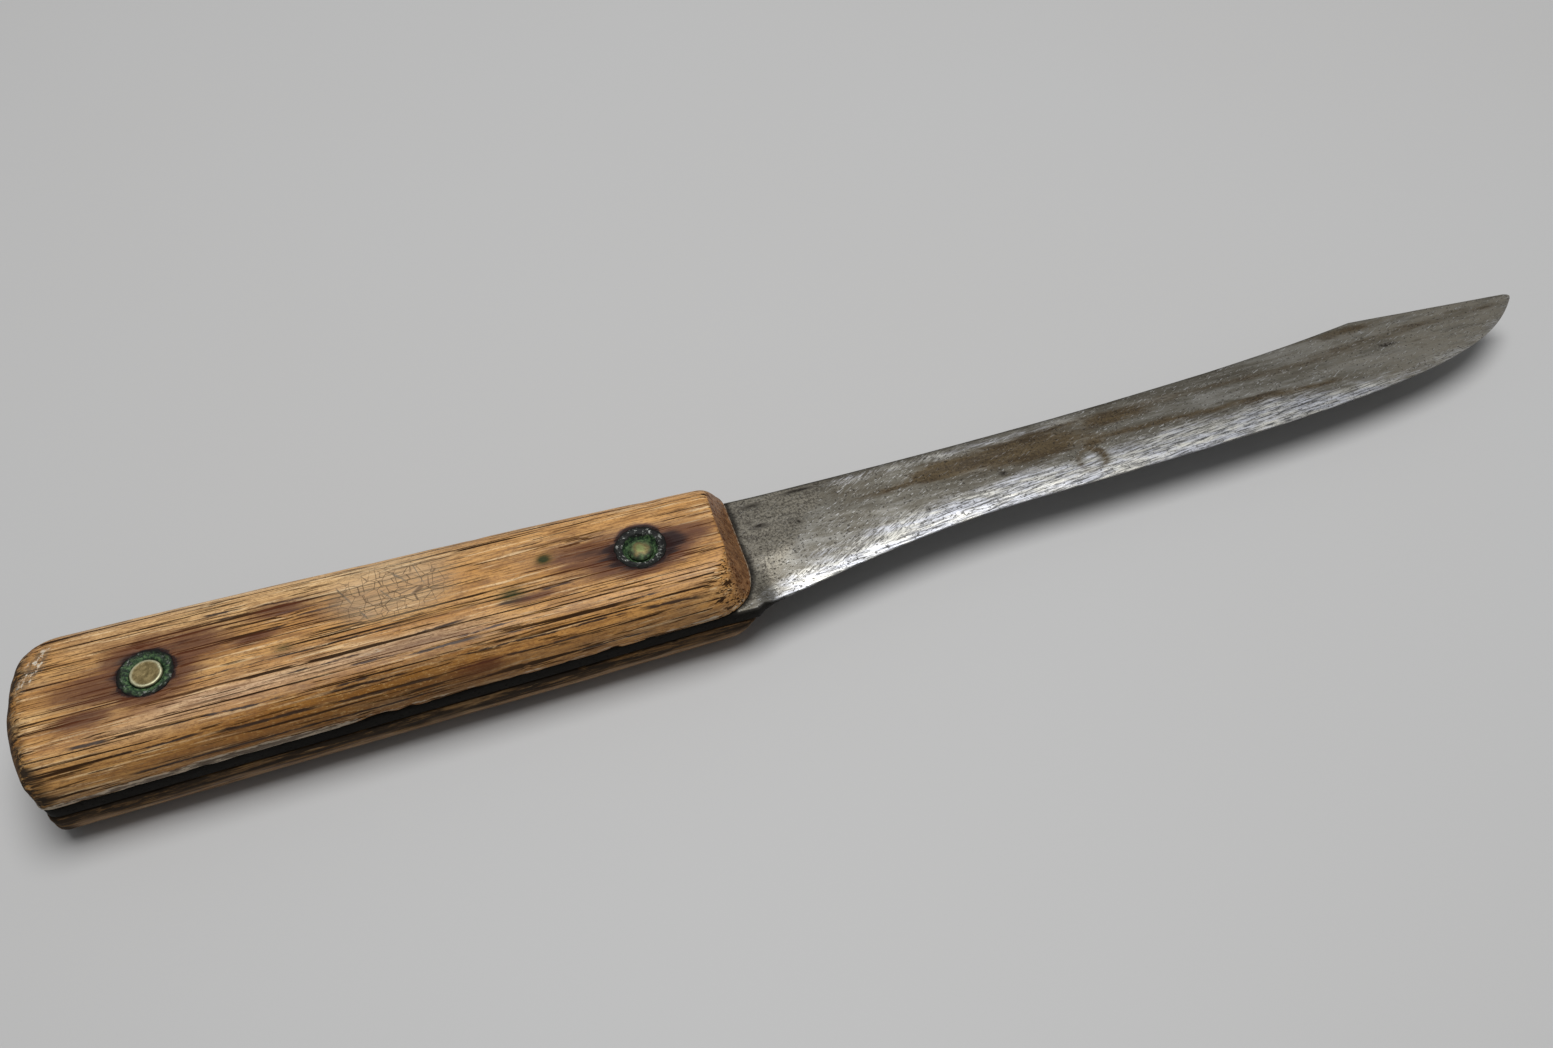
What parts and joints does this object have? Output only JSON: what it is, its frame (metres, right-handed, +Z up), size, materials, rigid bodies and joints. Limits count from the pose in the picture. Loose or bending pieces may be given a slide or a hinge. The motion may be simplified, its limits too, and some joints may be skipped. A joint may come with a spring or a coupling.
{
  "type": "butcher knife",
  "caption": "Butcher knife with a recurved carbon steel blade, upswept humped tip and full tang between riveted wooden scales.",
  "frame": {"origin": "on the surface that the knife lies on, under the middle of the handle's length and width", "axes": "+X along the handle to the blade's tip, +Y to the spine, +Z up, square to the blade's flat"},
  "size_m": [0.304, 0.0349, 0.019],
  "materials": {
    "steel": "carbon steel with grey and brown patina, ground bright along the edge",
    "wood": "worn honey brown hardwood with dark pores and stains round the rivets",
    "brass": "aged brass with green corrosion"
  },
  "bodies": {
    "root": {"blade": "steel", "upper_scale": "wood", "lower_scale": "wood", "rear_rivet": "brass", "rear_upper_burr": "brass", "rear_lower_burr": "brass", "front_rivet": "brass", "front_upper_burr": "brass", "front_lower_burr": "brass"}
  },
  "joints": []
}
